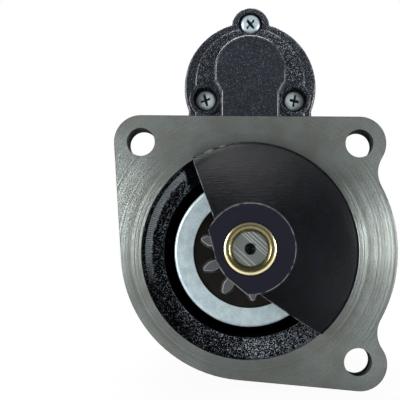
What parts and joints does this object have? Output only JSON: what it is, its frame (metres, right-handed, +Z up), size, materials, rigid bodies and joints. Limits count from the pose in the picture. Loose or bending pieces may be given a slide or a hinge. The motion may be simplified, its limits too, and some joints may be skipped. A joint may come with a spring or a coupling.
{
  "type": "starter motor",
  "caption": "Direct-drive starter motor with a flange-mounted windowed nose, sliding pinion, roller clutch, shift lever and solenoid on top",
  "frame": {"origin": "on the shaft axis, in the plane of the flange's mounting face", "axes": "+Y from the pinion towards the commutator end, +Z up towards the solenoid, +X to the right seen from the pinion"},
  "size_m": [0.117, 0.3122, 0.1728],
  "materials": {
    "housing_iron": "cast iron painted gloss black, with a machined grey-green mounting face",
    "bronze_bush": "sintered bronze, machined",
    "turned_steel": "turned and ground steel",
    "dark_steel": "hardened steel, dark",
    "zinc_steel": "zinc plated steel",
    "laminated_steel": "stacked laminations",
    "copper": "bare or lacquered copper",
    "phenolic": "moulded phenolic",
    "black_plastic": "moulded plastic, black",
    "painted_steel": "gloss black paint on drawn steel",
    "cover_aluminium": "die-cast aluminium, painted black",
    "spring_steel": "spring steel, oiled",
    "carbon": "carbon and copper brush",
    "fibre": "vulcanised fibre or paper gasket"
  },
  "bodies": {
    "housing": {"drive_end_housing": "housing_iron", "nose_bush": "bronze_bush", "bearing_plate": "housing_iron", "bearing_plate_screws": "zinc_steel", "centre_bush": "bronze_bush", "lever_pivot_pin": "zinc_steel", "pivot_pin_clip": "zinc_steel", "yoke": "painted_steel", "pole_shoes": "laminated_steel", "pole_screws": "dark_steel", "field_coils": "copper", "commutator_end_cover": "cover_aluminium", "rear_bush": "bronze_bush", "end_cap": "zinc_steel", "end_cap_gasket": "fibre", "end_cap_screws": "zinc_steel", "through_bolts": "zinc_steel", "spring_washers": "zinc_steel", "brush_plate": "zinc_steel", "brush_holders": "zinc_steel", "brushes": "carbon", "brush_springs": "spring_steel", "solenoid_case": "painted_steel", "solenoid_screws": "zinc_steel", "solenoid_bobbin": "black_plastic", "solenoid_coil": "copper", "solenoid_core": "turned_steel", "plunger_return_spring": "spring_steel", "contact_spring": "spring_steel", "solenoid_cap": "phenolic", "battery_stud": "copper", "motor_stud": "copper", "spade_terminal": "zinc_steel", "motor_strap": "copper", "field_insulator": "phenolic", "field_stud": "copper", "stud_washers": "zinc_steel", "stud_nuts": "zinc_steel"},
    "armature": {"armature_shaft": "turned_steel", "stop_ring": "dark_steel", "stop_circlip": "spring_steel", "armature_core": "laminated_steel", "armature_winding": "copper", "commutator": "copper", "commutator_hub": "phenolic", "thrust_washers": "fibre", "rear_circlip": "spring_steel"},
    "collar": {"shift_collar": "black_plastic"},
    "clutch": {"clutch_driver": "dark_steel", "clutch_cup": "zinc_steel", "clutch_washer": "dark_steel", "clutch_rollers": "turned_steel", "roller_plungers": "turned_steel", "collar_retainer": "spring_steel", "meshing_spring": "spring_steel"},
    "pinion": {"pinion": "dark_steel"},
    "shift_lever": {"shift_lever": "black_plastic"},
    "plunger": {"plunger": "turned_steel"},
    "contact": {"contact_rod": "turned_steel", "contact_disc": "copper"}
  },
  "joints": [
    {"name": "armature_spin", "type": "hinge", "parent": "housing", "child": "armature", "pos_m": [0, 0.142, 0], "axis": [0, 1, 0], "continuous": true},
    {"name": "drive_slide", "type": "slide", "parent": "armature", "child": "collar", "axis": [0, -1, 0], "range_m": [0, 0.017], "stiffness_N_per_m": 1500, "springref_m": -0.012},
    {"name": "clutch_twist", "type": "hinge", "parent": "collar", "child": "clutch", "pos_m": [0, -0.001, 0], "axis": [0, -1, 0], "range_deg": [0, 40.81]},
    {"name": "pinion_freewheel", "type": "hinge", "parent": "clutch", "child": "pinion", "pos_m": [0, -0.027, 0], "axis": [0, 1, 0], "continuous": true},
    {"name": "lever_swing", "type": "hinge", "parent": "housing", "child": "shift_lever", "pos_m": [0, 0.05238, 0.052], "axis": [-1, 0, 0], "range_deg": [0, 18.74]},
    {"name": "plunger_slide", "type": "slide", "parent": "housing", "child": "plunger", "axis": [0, 1, 0], "range_m": [0, 0.01046], "deforming": ["plunger_return_spring"]},
    {"name": "contact_slide", "type": "slide", "parent": "housing", "child": "contact", "axis": [0, 1, 0], "range_m": [0, 0.003], "deforming": ["contact_spring"]}
  ],
  "couplings": [
    {"joint": "clutch_twist", "follows": "drive_slide", "rad_per_m": 41.888},
    {"joint": "lever_swing", "follows": "drive_slide", "rad_per_m": 19.231},
    {"joint": "plunger_slide", "follows": "drive_slide", "ratio": 0.61538},
    {"joint": "contact_slide", "follows": "drive_slide", "ratio": 0.17645}
  ]
}
